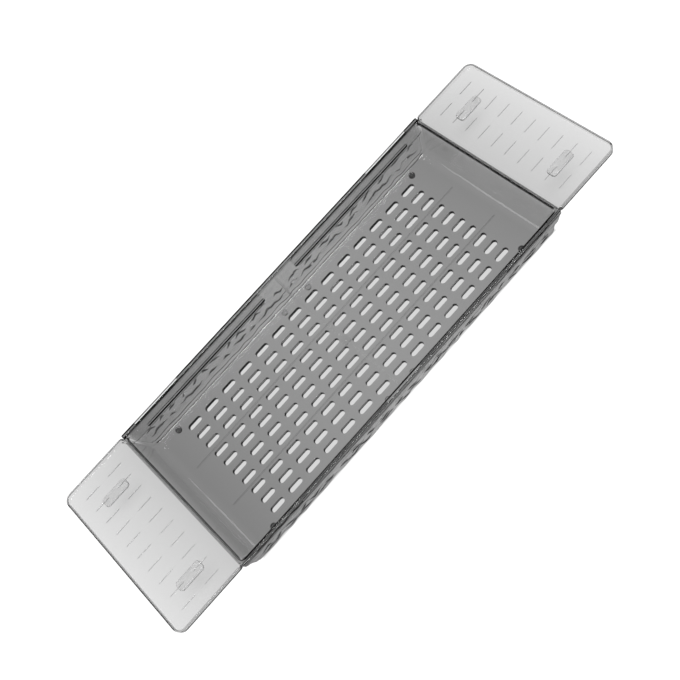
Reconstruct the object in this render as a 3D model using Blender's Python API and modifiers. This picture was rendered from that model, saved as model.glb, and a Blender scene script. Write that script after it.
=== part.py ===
"""Extending bath caddy: a slotted clear basin with two end shelves that slide out on side arms."""

import math

import bmesh
import bpy
from mathutils import Matrix, Vector

# Tray and basin. Heights named as levels are measured from the top of the basin's floor.
TRAY_LENGTH = 0.5008
TRAY_WIDTH = 0.216
END_RIM_WIDTH = 0.0026
SIDE_RIM_WIDTH = 0.0047
BASIN_DEPTH = 0.042
END_WALL_RUN = 0.0118
SIDE_WALL_RUN = 0.0113
FLOOR_THICKNESS = 0.004
WALL_THICKNESS = 0.0018
END_WALL_THICKNESS = 0.0035
END_COVE_RADIUS = 0.011
END_HEEL_RADIUS = 0.018
FOOT_FILLET = 0.0015

# Rim and the hanging side skirts, which leave a channel for the arms
RIM_THICKNESS = 0.002
END_RIM_DEPTH = 0.0065
RIM_ROUND = 0.0007
LIP_DEPTH = 0.007
LIP_STEP = 0.0011
SKIRT_THICKNESS = 0.0014
SKIRT_RUN = 0.008
SKIRT_RISE = 0.0004
EDGE_FALL = 0.0003
TRIM_RISE = 0.0004

# Ripple relief on the outside of the skirts
RIPPLE_HEIGHT = 0.0021
RIPPLE_TOP_HEIGHT = 0.0008
RIPPLE_CELL = 0.0086
RIPPLE_ROWS = 5
RIPPLE_LONG_WAVE = 0.046
RIPPLE_SHORT_WAVE = 0.027
RIPPLE_UPRIGHT_WAVE = 0.041
RIPPLE_MARGIN = 0.0012
RIPPLE_SINK = 0.0006

# Rim windows over the channel and guide slots in the walls
WINDOW_END_INSET = 0.0204
WINDOW_LENGTH = 0.069
WINDOW_WIDTH = 0.0017
WINDOW_BAR = 0.0012
WINDOW_SILL = 0.0016
SLOT_START = 0.0263
SLOT_END_INSET = 0.0281
SLOT_DROP = 0.014
SLOT_HEIGHT = 0.003

# Drain slots
DRAIN_END_MARGIN = 0.034
DRAIN_SIDE_MARGIN = 0.010
DRAIN_PITCH_X = 0.02856
DRAIN_PITCH_Y = 0.0162
DRAIN_LENGTH = 0.020
DRAIN_WIDTH = 0.0075
DRAIN_DRAFT = 0.001
DRAIN_SIDES = 10

# Centre rib, gate pad, ribs and studs of the floor
CENTRE_RIB_WIDTH = 0.0024
CENTRE_RIB_PROUD = 0.0005
CENTRE_RIB_SINK = 0.0006
CENTRE_RIB_TOP_GAP = 0.0015
GATE_SIZE = 0.0105
GATE_ROUND = 0.002
GATE_PROUD = 0.0009
GATE_DOT_RADIUS = 0.00175
GATE_DOT_PROUD = 0.0005
UNDER_RIB_Y = 0.0324
UNDER_RIB_END_INSET = 0.016
UNDER_RIB_WIDTH = 0.0014
UNDER_RIB_DEPTH = 0.001
STUD_X = 0.0205
STUD_SIDE_INSET = 0.006
STUD_RADIUS = 0.0035
STUD_HEIGHT = 0.0025

# Rubber feet
FOOT_END_INSET = 0.031
FOOT_SIDE_INSET = 0.007
FOOT_RADIUS = 0.004
FOOT_HEIGHT = 0.003
FOOT_ROUND = 0.0008
FOOT_SPIGOT_RADIUS = 0.0022
FOOT_SPIGOT_HEIGHT = 0.0016

# End shelves
SHELF_LENGTH = 0.0943
SHELF_SIDE_INSET = 0.0013
SHELF_RECESS = 0.005
SHELF_THICKNESS = 0.002
SHELF_LIP = 0.0023
SHELF_CORNER = 0.0105
SHELF_INNER_CORNER = 0.004
SHELF_EDGE_ROUND = 0.0006
SHELF_GAP = 0.0003
CROSS_WEB_THICKNESS = 0.0016
CROSS_WEB_DEPTH = 0.004
CROSS_WEB_INSET = 0.0004

# Drain ribs on the shelves
SHELF_RIB_FIRST = 0.0309
SHELF_RIB_ROW_STEP = 0.0346
SHELF_RIB_MARGIN = 0.009
SHELF_RIB_PITCH = 0.0194
SHELF_RIB_LENGTH = 0.0204
SHELF_RIB_WIDTH = 0.0011
SHELF_RIB_HEIGHT = 0.0008

# Arms of the shelves, with the key that runs in the guide slot
ARM_THICKNESS = 0.00135
ARM_CLEARANCE = 0.0003
ARM_TOP_GAP = 0.0015
ARM_HEIGHT = 0.0165
ARM_GUSSET = 0.005
ARM_TAPER = 0.006
SHELF_TRAVEL = 0.0539
KEY_CLEARANCE = 0.0003
KEY_SETBACK = 0.0002

# Grip pads under the shelves
PAD_LENGTH = 0.035
PAD_WIDTH = 0.013
PAD_HEIGHT = 0.0035
PAD_ROUND = 0.0009
PAD_CORNER = 0.004
PAD_SIDE_INSET = 0.0394
SEAT_GAP = 0.0003

# Modelling values
OVERRUN = 0.010
SINK = 0.0008
WELD_DISTANCE = 0.00001
ARC_STEPS = 6
SMALL_ARC_STEPS = 3
SMALL_ARC_RADIUS = 0.005
ROUND_SIDES = 16
BEVEL_SEGMENTS = 2
SHARP_ANGLE = math.radians(30)

MOUTH_LENGTH = TRAY_LENGTH - 2 * END_RIM_WIDTH
MOUTH_WIDTH = TRAY_WIDTH - 2 * SIDE_RIM_WIDTH
FLOOR_LENGTH = MOUTH_LENGTH - 2 * END_WALL_RUN
FLOOR_WIDTH = MOUTH_WIDTH - 2 * SIDE_WALL_RUN
SHELF_WIDTH = TRAY_WIDTH - 2 * SHELF_SIDE_INSET
FLOOR_TOP = FOOT_HEIGHT + FLOOR_THICKNESS
LIP_LEVEL = BASIN_DEPTH - LIP_DEPTH
CHANNEL_TOP_LEVEL = BASIN_DEPTH - RIM_THICKNESS
SHELF_LEVEL = BASIN_DEPTH - SHELF_RECESS
SHELF_START = TRAY_LENGTH / 2 + SHELF_GAP
SLOT_LEVEL = BASIN_DEPTH - SLOT_DROP
SLOT_END = TRAY_LENGTH / 2 - SLOT_END_INSET
WINDOW_END = TRAY_LENGTH / 2 - WINDOW_END_INSET
WINDOW_START = WINDOW_END - WINDOW_LENGTH
ARM_HIGH_LEVEL = CHANNEL_TOP_LEVEL - ARM_TOP_GAP
ARM_LOW_LEVEL = ARM_HIGH_LEVEL - ARM_HEIGHT
ARM_END = SLOT_START + KEY_CLEARANCE
KEY_LENGTH = SLOT_END - SHELF_TRAVEL - ARM_END
FOOT_X = FLOOR_LENGTH / 2 - FOOT_END_INSET
FOOT_Y = FLOOR_WIDTH / 2 - FOOT_SIDE_INSET
STUD_Y = FLOOR_WIDTH / 2 - STUD_SIDE_INSET
PAD_X = SHELF_LENGTH / 2
PAD_Y = SHELF_WIDTH / 2 - PAD_SIDE_INSET

# A profile's u, v and depth directions turned into world axes
ACROSS = Matrix(((0, 0, 1, 0), (1, 0, 0, 0), (0, 1, 0, 0), (0, 0, 0, 1)))
ALONG = Matrix(((1, 0, 0, 0), (0, 0, -1, 0), (0, 1, 0, 0), (0, 0, 0, 1)))
UPRIGHT = Matrix.Identity(4)

for old in list(bpy.data.objects):
    bpy.data.objects.remove(old, do_unlink=True)

parts = bpy.data.collections.new("bath_caddy")
cutters = bpy.data.collections.new("cutters")
cutters.hide_render = True
bpy.context.scene.collection.children.link(parts)
bpy.context.scene.collection.children.link(cutters)


def plastic(name, colour, roughness, transmission):
    material = bpy.data.materials.new(name)
    material.use_nodes = True
    shader = material.node_tree.nodes["Principled BSDF"]
    shader.inputs["Base Color"].default_value = (*colour, 1.0)
    shader.inputs["Roughness"].default_value = roughness
    shader.inputs["Metallic"].default_value = 0.0
    shader.inputs["Transmission Weight"].default_value = transmission
    return material


smoke = plastic("smoke_plastic", (0.34, 0.34, 0.35), 0.08, 0.9)
clear = plastic("clear_plastic", (0.78, 0.78, 0.78), 0.1, 0.9)
grip = plastic("grip_rubber", (0.55, 0.55, 0.55), 0.6, 0.0)
foot_rubber = plastic("foot_rubber", (0.10, 0.10, 0.10), 0.7, 0.0)


def long_inner(level):
    """Half the basin's inner width at a level."""
    return FLOOR_WIDTH / 2 + SIDE_WALL_RUN * level / BASIN_DEPTH


def long_outer(level):
    return long_inner(level) + WALL_THICKNESS * math.hypot(1, SIDE_WALL_RUN / BASIN_DEPTH)


def end_inner(level):
    """Half the basin's inner length at a level."""
    return FLOOR_LENGTH / 2 + END_WALL_RUN * level / BASIN_DEPTH


def end_outer(level):
    return end_inner(level) + END_WALL_THICKNESS * math.hypot(1, END_WALL_RUN / BASIN_DEPTH)


def skirt_outer(level):
    """Half the width over the skirts, at the valleys of their relief."""
    drop = (LIP_LEVEL - level) / (LIP_LEVEL + FLOOR_THICKNESS)
    return TRAY_WIDTH / 2 - LIP_STEP - SKIRT_RUN * drop


def skirt_inner(level):
    return skirt_outer(level) - SKIRT_THICKNESS


def channel_middle(level):
    return (long_outer(level) + skirt_inner(level)) / 2


def fillet(before, corner, after, radius, steps=ARC_STEPS):
    """Points of the arc that rounds one corner of an outline."""
    corner = Vector(corner)
    towards = (Vector(before) - corner).normalized()
    away = (Vector(after) - corner).normalized()
    half = towards.angle(away) / 2
    centre = corner + (towards + away).normalized() * radius / math.sin(half)
    start = corner + towards * radius / math.tan(half) - centre
    turn = math.pi - 2 * half
    if start.x * towards.y - start.y * towards.x > 0:
        turn = -turn
    arc = (Matrix.Rotation(turn * step / steps, 2) @ start for step in range(steps + 1))
    return [tuple(centre + point) for point in arc]


def rounded(corners):
    """An outline whose corners are given as (u, v, radius)."""
    outline = []
    for index, (u, v, radius) in enumerate(corners):
        before = corners[index - 1][:2]
        after = corners[(index + 1) % len(corners)][:2]
        if radius:
            steps = ARC_STEPS if radius > SMALL_ARC_RADIUS else SMALL_ARC_STEPS
            outline += fillet(before, (u, v), after, radius, steps)
        else:
            outline.append((u, v))
    return outline


def mirrored(half):
    """A whole outline from its +u half, listed upwards from the bottom."""
    return half + [(-u, v) for u, v in reversed(half)]


def at_floor(outline):
    return [(u, v + FLOOR_TOP) for u, v in outline]


def add_object(name, data, collection, location=(0, 0, 0)):
    obj = bpy.data.objects.new(name, data)
    obj.location = location
    collection.objects.link(obj)
    if collection == cutters:
        obj.hide_render = True
        obj.display_type = "WIRE"
    return obj


def evaluated_mesh(obj, name):
    bpy.context.view_layer.update()
    graph = bpy.context.evaluated_depsgraph_get()
    mesh = bpy.data.meshes.new_from_object(obj.evaluated_get(graph))
    mesh.name = name
    return mesh


def tidy(mesh):
    """Welds a mesh and turns its faces outwards."""
    work = bmesh.new()
    work.from_mesh(mesh)
    bmesh.ops.remove_doubles(work, verts=work.verts, dist=WELD_DISTANCE)
    bmesh.ops.recalc_face_normals(work, faces=work.faces)
    work.to_mesh(mesh)
    work.free()
    return mesh


def prism(name, outline, start, end, direction, collection=cutters, location=(0, 0, 0)):
    """A flat outline extruded from start to end along the direction's depth."""
    curve = bpy.data.curves.new(name, "CURVE")
    curve.dimensions = "2D"
    curve.fill_mode = "BOTH"
    curve.extrude = (end - start) / 2
    spline = curve.splines.new("POLY")
    spline.points.add(len(outline) - 1)
    for point, (u, v) in zip(spline.points, outline):
        point.co = (u, v, 0, 1)
    spline.use_cyclic_u = True
    drawn = add_object(name + "_outline", curve, collection)
    mesh = evaluated_mesh(drawn, name)
    bpy.data.objects.remove(drawn)
    mesh.transform(direction @ Matrix.Translation((0, 0, (start + end) / 2)))
    return add_object(name, tidy(mesh), collection, location)


def join_meshes(name, objects, collection=cutters):
    """Separate solids gathered in one object."""
    work = bmesh.new()
    for obj in objects:
        copy = obj.data.copy()
        copy.transform(Matrix.Translation(obj.location))
        work.from_mesh(copy)
        bpy.data.meshes.remove(copy)
        bpy.data.objects.remove(obj)
    mesh = bpy.data.meshes.new(name)
    work.to_mesh(mesh)
    work.free()
    return add_object(name, mesh, collection)


def boolean(target, operation, tool):
    modifier = target.modifiers.new(tool.name, "BOOLEAN")
    modifier.operation = operation
    modifier.object = tool
    modifier.solver = "EXACT"


def crossed(name, first, second):
    """The solid that two prisms share."""
    boolean(first, "INTERSECT", second)
    mesh = tidy(evaluated_mesh(first, name))
    bpy.data.objects.remove(first)
    bpy.data.objects.remove(second)
    return add_object(name, mesh, cutters)


def box(name, low, high, collection=cutters, location=(0, 0, 0)):
    low, high = Vector(low), Vector(high)
    work = bmesh.new()
    bmesh.ops.create_cube(work, size=1)
    bmesh.ops.scale(work, vec=high - low, verts=work.verts)
    bmesh.ops.translate(work, vec=(low + high) / 2, verts=work.verts)
    mesh = bpy.data.meshes.new(name)
    work.to_mesh(mesh)
    work.free()
    return add_object(name, mesh, collection, location)


def cylinder(name, radius, low, high, location):
    work = bmesh.new()
    bmesh.ops.create_cone(
        work,
        cap_ends=True,
        segments=ROUND_SIDES,
        radius1=radius,
        radius2=radius,
        depth=high - low,
        matrix=Matrix.Translation((0, 0, (low + high) / 2)),
    )
    mesh = bpy.data.meshes.new(name)
    work.to_mesh(mesh)
    work.free()
    return add_object(name, mesh, cutters, location)


def both_ways(make, name):
    """One solid for each quarter of the tray, gathered in one object."""
    quarters = [make(f"{name}_{x}_{y}", x, y) for x in (-1, 1) for y in (-1, 1)]
    return join_meshes(name, quarters)


def sorted_box(name, sign_x, sign_y, x_span, y_span, z_span):
    xs = sorted(sign_x * x for x in x_span)
    ys = sorted(sign_y * y for y in y_span)
    low, high = zip(xs, ys, z_span)
    return box(name, low, high)


def ripple(x, z):
    """Share of the relief's height at a place on the skirt."""
    turn = 2 * math.pi
    sway = math.sin(turn * z / RIPPLE_UPRIGHT_WAVE + turn * x / (RIPPLE_LONG_WAVE + RIPPLE_UPRIGHT_WAVE))
    long_wave = math.sin(turn * x / RIPPLE_LONG_WAVE + 2 * sway)
    short_wave = math.sin(turn * x / RIPPLE_SHORT_WAVE - turn * z / RIPPLE_UPRIGHT_WAVE + sway)
    return (2 + long_wave + short_wave) / 4


def ripple_panel(name, side):
    """A relief panel, flat at the back, sunk into the outside of one skirt."""
    low = -FLOOR_THICKNESS + RIPPLE_MARGIN
    high = LIP_LEVEL + RIPPLE_MARGIN
    work = bmesh.new()
    columns = round(TRAY_LENGTH / RIPPLE_CELL)
    bmesh.ops.create_grid(work, x_segments=columns, y_segments=RIPPLE_ROWS, size=1)
    front = list(work.verts)
    grown = bmesh.ops.extrude_face_region(work, geom=list(work.faces))["geom"]
    back = [item for item in grown if isinstance(item, bmesh.types.BMVert)]
    reach = TRAY_LENGTH / 2 - TRIM_RISE
    for group, is_front in ((front, True), (back, False)):
        for vertex in group:
            x = reach * vertex.co.x
            z = low + (high - low) * (vertex.co.y + 1) / 2
            fade = (max(z, 0) / LIP_LEVEL) ** 2
            height = RIPPLE_HEIGHT + (RIPPLE_TOP_HEIGHT - RIPPLE_HEIGHT) * fade
            out = height * ripple(side * x, z) if is_front else -RIPPLE_SINK
            vertex.co = (x, side * (skirt_outer(z) + out), z + FLOOR_TOP)
    bmesh.ops.recalc_face_normals(work, faces=work.faces)
    mesh = bpy.data.meshes.new(name)
    work.to_mesh(mesh)
    work.free()
    return add_object(name, mesh, cutters)


def drain_cutters():
    """Tapered slots with round ends, in a regular field over the floor."""
    work = bmesh.new()
    widen = 1 / math.cos(math.pi / DRAIN_SIDES)
    straight = (DRAIN_LENGTH - DRAIN_WIDTH) / 2
    top = DRAIN_WIDTH / 2 + DRAIN_DRAFT * OVERRUN / FLOOR_THICKNESS
    bottom = DRAIN_WIDTH / 2 - 2 * DRAIN_DRAFT
    height = OVERRUN + 2 * FLOOR_THICKNESS
    columns = 2 * int((FLOOR_LENGTH / 2 - DRAIN_END_MARGIN) / DRAIN_PITCH_X)
    rows = 2 * int((FLOOR_WIDTH / 2 - DRAIN_SIDE_MARGIN) / DRAIN_PITCH_Y)
    for column in range(columns):
        for row in range(rows):
            x = (column - (columns - 1) / 2) * DRAIN_PITCH_X
            y = (row - (rows - 1) / 2) * DRAIN_PITCH_Y
            made = bmesh.ops.create_cone(
                work,
                cap_ends=True,
                segments=DRAIN_SIDES,
                radius1=bottom * widen,
                radius2=top * widen,
                depth=height,
                matrix=Matrix.Rotation(math.pi / DRAIN_SIDES, 4, "Z"),
            )["verts"]
            for vertex in made:
                vertex.co.x += math.copysign(straight, vertex.co.x) + x
                vertex.co.y += y
                vertex.co.z += FLOOR_TOP + OVERRUN - height / 2
    mesh = bpy.data.meshes.new("drain_slots")
    work.to_mesh(mesh)
    work.free()
    return add_object("drain_slots", mesh, cutters)


def tray_section():
    """Cross-section of the tray before its basin is cut: floor, walls, rim and skirts."""
    bottom = -FLOOR_THICKNESS
    skirt_foot = bottom + SKIRT_RISE
    half_width = TRAY_WIDTH / 2
    corners = [
        (long_outer(bottom), bottom, FOOT_FILLET),
        (long_outer(CHANNEL_TOP_LEVEL), CHANNEL_TOP_LEVEL, 0),
        (skirt_inner(CHANNEL_TOP_LEVEL), CHANNEL_TOP_LEVEL - EDGE_FALL, 0),
        (skirt_inner(skirt_foot), skirt_foot + EDGE_FALL, 0),
        (skirt_outer(skirt_foot), skirt_foot, 0),
        (skirt_outer(LIP_LEVEL), LIP_LEVEL, 0),
        (half_width, LIP_LEVEL, 0),
        (half_width, BASIN_DEPTH, RIM_ROUND),
    ]
    first = (0, bottom)
    last = (0, BASIN_DEPTH)
    half = []
    for index, (u, v, radius) in enumerate(corners):
        before = corners[index - 1][:2] if index else first
        after = corners[index + 1][:2] if index + 1 < len(corners) else last
        if radius:
            half += fillet(before, (u, v), after, radius, SMALL_ARC_STEPS)
        else:
            half.append((u, v))
    return mirrored(half)


def basin_cutter():
    """The inside of the basin: drafted walls, coved ends and a fine fillet along the sides."""
    high = BASIN_DEPTH + OVERRUN
    ends = rounded(
        [
            (-end_inner(0), 0, END_COVE_RADIUS),
            (end_inner(0), 0, END_COVE_RADIUS),
            (end_inner(high), high, 0),
            (-end_inner(high), high, 0),
        ]
    )
    sides = rounded(
        [
            (-long_inner(0), 0, FOOT_FILLET),
            (long_inner(0), 0, FOOT_FILLET),
            (long_inner(high), high, 0),
            (-long_inner(high), high, 0),
        ]
    )
    wide, long = MOUTH_WIDTH, MOUTH_LENGTH
    lengthways = prism("basin_ends", at_floor(ends), -wide, wide, ALONG)
    crossways = prism("basin_sides", at_floor(sides), -long, long, ACROSS)
    return crossed("basin_hollow", lengthways, crossways)


def end_voids():
    """The space outside the end walls, under the end rim and between the side channels."""
    bottom = -FLOOR_THICKNESS
    top = BASIN_DEPTH - END_RIM_DEPTH
    low = bottom - OVERRUN
    past = TRAY_LENGTH / 2 + OVERRUN
    foot = (end_outer(bottom), bottom)
    arc = fillet((0, bottom), foot, (end_outer(top), top), END_HEEL_RADIUS)
    outline = [(arc[0][0] - SINK, low), *arc[1:], (end_outer(top), top), (past, top), (past, low)]
    between = [
        (channel_middle(low), low),
        (channel_middle(top), top),
        (-channel_middle(top), top),
        (-channel_middle(low), low),
    ]
    voids = []
    for side in (-1, 1):
        shape = [(side * u, v) for u, v in outline]
        lengthways = prism("end_space", at_floor(shape), -MOUTH_WIDTH, MOUTH_WIDTH, ALONG)
        crossways = prism("end_band", at_floor(between), -MOUTH_LENGTH, MOUTH_LENGTH, ACROSS)
        voids.append(crossed(f"end_void_{side}", lengthways, crossways))
    return join_meshes("end_voids", voids)


def skirt_trims():
    """Wedges that slant the ends of the skirts like the end walls."""
    top = LIP_LEVEL + TRIM_RISE
    low = -FLOOR_THICKNESS - OVERRUN
    end = TRAY_LENGTH / 2
    run = END_WALL_RUN * (top - low) / BASIN_DEPTH
    outline = [
        (end, top),
        (end - run, low),
        (end + 2 * OVERRUN, low),
        (end + 2 * OVERRUN, top),
    ]
    wedges = []
    for side in (-1, 1):
        shape = [(side * u, v) for u, v in outline]
        wedges.append(prism(f"skirt_trim_{side}", at_floor(shape), -TRAY_WIDTH, TRAY_WIDTH, ALONG))
    return join_meshes("skirt_trims", wedges)


def window(name, x, y):
    """An opening over the channel and through the lip, which leaves a thin bar as the rim's edge."""
    inner = long_outer(CHANNEL_TOP_LEVEL)
    outer = inner + WINDOW_WIDTH
    top = BASIN_DEPTH + OVERRUN
    bar = BASIN_DEPTH - WINDOW_BAR
    sill = LIP_LEVEL + WINDOW_SILL
    past = TRAY_WIDTH / 2 + OVERRUN
    profile = [(inner, sill), (past, sill), (past, bar), (outer, bar), (outer, top), (inner, top)]
    shape = [(y * u, v) for u, v in profile]
    start, end = sorted((x * WINDOW_START, x * WINDOW_END))
    return prism(name, at_floor(shape), start, end, ACROSS)


def guide_slot(name, x, y):
    low = FLOOR_TOP + SLOT_LEVEL - SLOT_HEIGHT / 2
    high = low + SLOT_HEIGHT
    inner = long_inner(SLOT_LEVEL - SLOT_HEIGHT) - WALL_THICKNESS / 2
    outer = channel_middle(SLOT_LEVEL)
    return sorted_box(name, x, y, (SLOT_START, SLOT_END), (inner, outer), (low, high))


def centre_rib():
    """A low rib round the inside of the basin at its middle."""
    top = BASIN_DEPTH - CENTRE_RIB_TOP_GAP
    half = [
        (long_inner(0) + CENTRE_RIB_SINK, -CENTRE_RIB_SINK),
        (long_inner(top) + CENTRE_RIB_SINK, top),
        (long_inner(top) - CENTRE_RIB_PROUD, top),
        (long_inner(0) - CENTRE_RIB_PROUD - FOOT_FILLET / 2, FOOT_FILLET + CENTRE_RIB_PROUD),
        (long_inner(0) - CENTRE_RIB_PROUD - FOOT_FILLET, CENTRE_RIB_PROUD),
    ]
    width = CENTRE_RIB_WIDTH / 2
    return prism("centre_rib", at_floor(mirrored(half)), -width, width, ACROSS)


def gate_pad():
    half = GATE_SIZE / 2
    corners = [
        (-half, -half, GATE_ROUND),
        (half, -half, GATE_ROUND),
        (half, half, GATE_ROUND),
        (-half, half, GATE_ROUND),
    ]
    return prism("gate_pad", rounded(corners), FLOOR_TOP - SINK, FLOOR_TOP + GATE_PROUD, UPRIGHT)


def under_rib(name, side):
    half = UNDER_RIB_WIDTH / 2
    low = FOOT_HEIGHT - UNDER_RIB_DEPTH
    length = FLOOR_LENGTH / 2 - UNDER_RIB_END_INSET
    y = side * UNDER_RIB_Y
    return box(name, (-length, y - half, low), (length, y + half, FOOT_HEIGHT + SINK))


def stud(name, x, y):
    high = FOOT_HEIGHT + SINK
    return cylinder(name, STUD_RADIUS, FOOT_HEIGHT - STUD_HEIGHT, high, (x * STUD_X, y * STUD_Y, 0))


def foot_socket(name, x, y):
    radius = FOOT_SPIGOT_RADIUS + SEAT_GAP
    low = FOOT_HEIGHT - OVERRUN
    high = FOOT_HEIGHT + FOOT_SPIGOT_HEIGHT + SEAT_GAP
    return cylinder(name, radius, low, high, (x * FOOT_X, y * FOOT_Y, 0))


def make_tray():
    half = TRAY_LENGTH / 2
    tray = prism("tray", at_floor(tray_section()), -half, half, ACROSS, parts)
    for side in (-1, 1):
        boolean(tray, "UNION", ripple_panel(f"ripple_{side}", side))
    boolean(tray, "DIFFERENCE", skirt_trims())
    boolean(tray, "DIFFERENCE", end_voids())
    boolean(tray, "DIFFERENCE", basin_cutter())
    boolean(tray, "UNION", centre_rib())
    boolean(tray, "UNION", gate_pad())
    dot_top = FLOOR_TOP + GATE_PROUD + GATE_DOT_PROUD
    boolean(tray, "UNION", cylinder("gate_dot", GATE_DOT_RADIUS, FLOOR_TOP - SINK / 2, dot_top, (0, 0, 0)))
    ribs = [under_rib(f"under_rib_{side}", side) for side in (-1, 1)]
    boolean(tray, "UNION", join_meshes("under_ribs", ribs))
    boolean(tray, "UNION", both_ways(stud, "studs"))
    boolean(tray, "DIFFERENCE", both_ways(window, "windows"))
    boolean(tray, "DIFFERENCE", both_ways(guide_slot, "guide_slots"))
    boolean(tray, "DIFFERENCE", both_ways(foot_socket, "foot_sockets"))
    boolean(tray, "DIFFERENCE", drain_cutters())
    tray.data.materials.append(smoke)
    return tray


def shelf_outline(inset, start):
    """Plan of a shelf from its inner edge, drawn in by the inset."""
    half = SHELF_WIDTH / 2 - inset
    end = SHELF_LENGTH - inset
    outer = SHELF_CORNER - inset
    inner = SHELF_INNER_CORNER if not inset else 0
    return rounded(
        [
            (start, -half, inner),
            (end, -half, outer),
            (end, half, outer),
            (start, half, inner),
        ]
    )


def shelf_rib(name, x, y):
    half_width = SHELF_RIB_WIDTH / 2
    low = FLOOR_TOP + SHELF_LEVEL - SINK
    high = FLOOR_TOP + SHELF_LEVEL + SHELF_RIB_HEIGHT
    start = x - SHELF_RIB_LENGTH / 2
    end = x + SHELF_RIB_LENGTH / 2
    return box(name, (start, y - half_width, low), (end, y + half_width, high))


def arm(name, side):
    """One arm and its gusset, leaning like the basin's wall that it slides along."""
    low, high = ARM_LOW_LEVEL, ARM_HIGH_LEVEL
    inner_end = ARM_END - SHELF_START
    under = SHELF_LEVEL - SHELF_THICKNESS / 2
    lengthways = [
        (inner_end, low + ARM_TAPER / 2),
        (inner_end + ARM_TAPER, low),
        (SHELF_GAP, low),
        (ARM_GUSSET, under - SHELF_THICKNESS / 4),
        (ARM_GUSSET, under),
        (SHELF_GAP, under),
        (SHELF_GAP - ARM_TAPER / 2, high),
        (inner_end + ARM_TAPER / 2, high),
        (inner_end, high - ARM_TAPER / 2),
    ]
    lean = [
        (side * (long_outer(low - OVERRUN) + ARM_CLEARANCE), low - OVERRUN),
        (side * (long_outer(low - OVERRUN) + ARM_CLEARANCE + ARM_THICKNESS), low - OVERRUN),
        (side * (long_outer(high + OVERRUN) + ARM_CLEARANCE + ARM_THICKNESS), high + OVERRUN),
        (side * (long_outer(high + OVERRUN) + ARM_CLEARANCE), high + OVERRUN),
    ]
    side_view = prism("arm_side", at_floor(lengthways), -TRAY_WIDTH, TRAY_WIDTH, ALONG)
    end_view = prism("arm_lean", at_floor(lean), -TRAY_LENGTH, TRAY_LENGTH, ACROSS)
    return crossed(name, side_view, end_view)


def arm_key(name, side):
    """The key on an arm, which runs in the guide slot."""
    height = SLOT_HEIGHT - 2 * KEY_CLEARANCE
    low = FLOOR_TOP + SLOT_LEVEL - height / 2
    start = ARM_END - SHELF_START
    inner = long_inner(SLOT_LEVEL + height) + KEY_SETBACK
    outer = long_outer(SLOT_LEVEL) + ARM_CLEARANCE + ARM_THICKNESS / 2
    ys = sorted((side * inner, side * outer))
    return box(name, (start, ys[0], low), (start + KEY_LENGTH, ys[1], low + height))


def wing_mesh():
    """An end shelf with its arms, drawn from the middle of its inner edge."""
    under = FLOOR_TOP + SHELF_LEVEL - SHELF_THICKNESS
    top = FLOOR_TOP + BASIN_DEPTH
    shelf = prism("shelf", shelf_outline(0, 0), under, top, UPRIGHT)
    bevel = shelf.modifiers.new("edge", "BEVEL")
    bevel.width = SHELF_EDGE_ROUND
    bevel.segments = BEVEL_SEGMENTS
    bevel.limit_method = "ANGLE"
    bevel.angle_limit = SHARP_ANGLE * 2
    pocket = shelf_outline(SHELF_LIP, -OVERRUN)
    recess = prism("shelf_recess", pocket, FLOOR_TOP + SHELF_LEVEL, top + OVERRUN, UPRIGHT)
    boolean(shelf, "DIFFERENCE", recess)
    ribs = []
    rows = 1 + int((SHELF_LENGTH - SHELF_RIB_FIRST) / SHELF_RIB_ROW_STEP)
    count = 2 * int((SHELF_WIDTH / 2 - SHELF_RIB_MARGIN) / SHELF_RIB_PITCH)
    for row in range(rows):
        for index in range(count):
            x = SHELF_RIB_FIRST + row * SHELF_RIB_ROW_STEP
            y = (index - (count - 1) / 2) * SHELF_RIB_PITCH
            ribs.append(shelf_rib(f"rib_{len(ribs)}", x, y))
    boolean(shelf, "UNION", join_meshes("shelf_ribs", ribs))
    web_half = long_outer(ARM_LOW_LEVEL) + ARM_CLEARANCE
    web_low = (CROSS_WEB_INSET, -web_half, under - CROSS_WEB_DEPTH)
    web_high = (CROSS_WEB_INSET + CROSS_WEB_THICKNESS, web_half, under + SHELF_THICKNESS / 2)
    boolean(shelf, "UNION", box("cross_web", web_low, web_high))
    for side in (-1, 1):
        boolean(shelf, "UNION", arm(f"arm_{side}", side))
        boolean(shelf, "UNION", arm_key(f"key_{side}", side))
    mesh = evaluated_mesh(shelf, "wing")
    mesh.materials.append(clear)
    return mesh


def pad_mesh():
    half_length, half_width = PAD_LENGTH / 2, PAD_WIDTH / 2
    corners = [
        (-half_length, -half_width, PAD_CORNER),
        (half_length, -half_width, PAD_CORNER),
        (half_length, half_width, PAD_CORNER),
        (-half_length, half_width, PAD_CORNER),
    ]
    pad = prism("pad", rounded(corners), -PAD_HEIGHT, 0, UPRIGHT)
    bevel = pad.modifiers.new("edge", "BEVEL")
    bevel.width = PAD_ROUND
    bevel.segments = BEVEL_SEGMENTS
    bevel.limit_method = "ANGLE"
    bevel.angle_limit = SHARP_ANGLE * 2
    mesh = evaluated_mesh(pad, "grip_pad")
    mesh.materials.append(grip)
    return mesh


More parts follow.
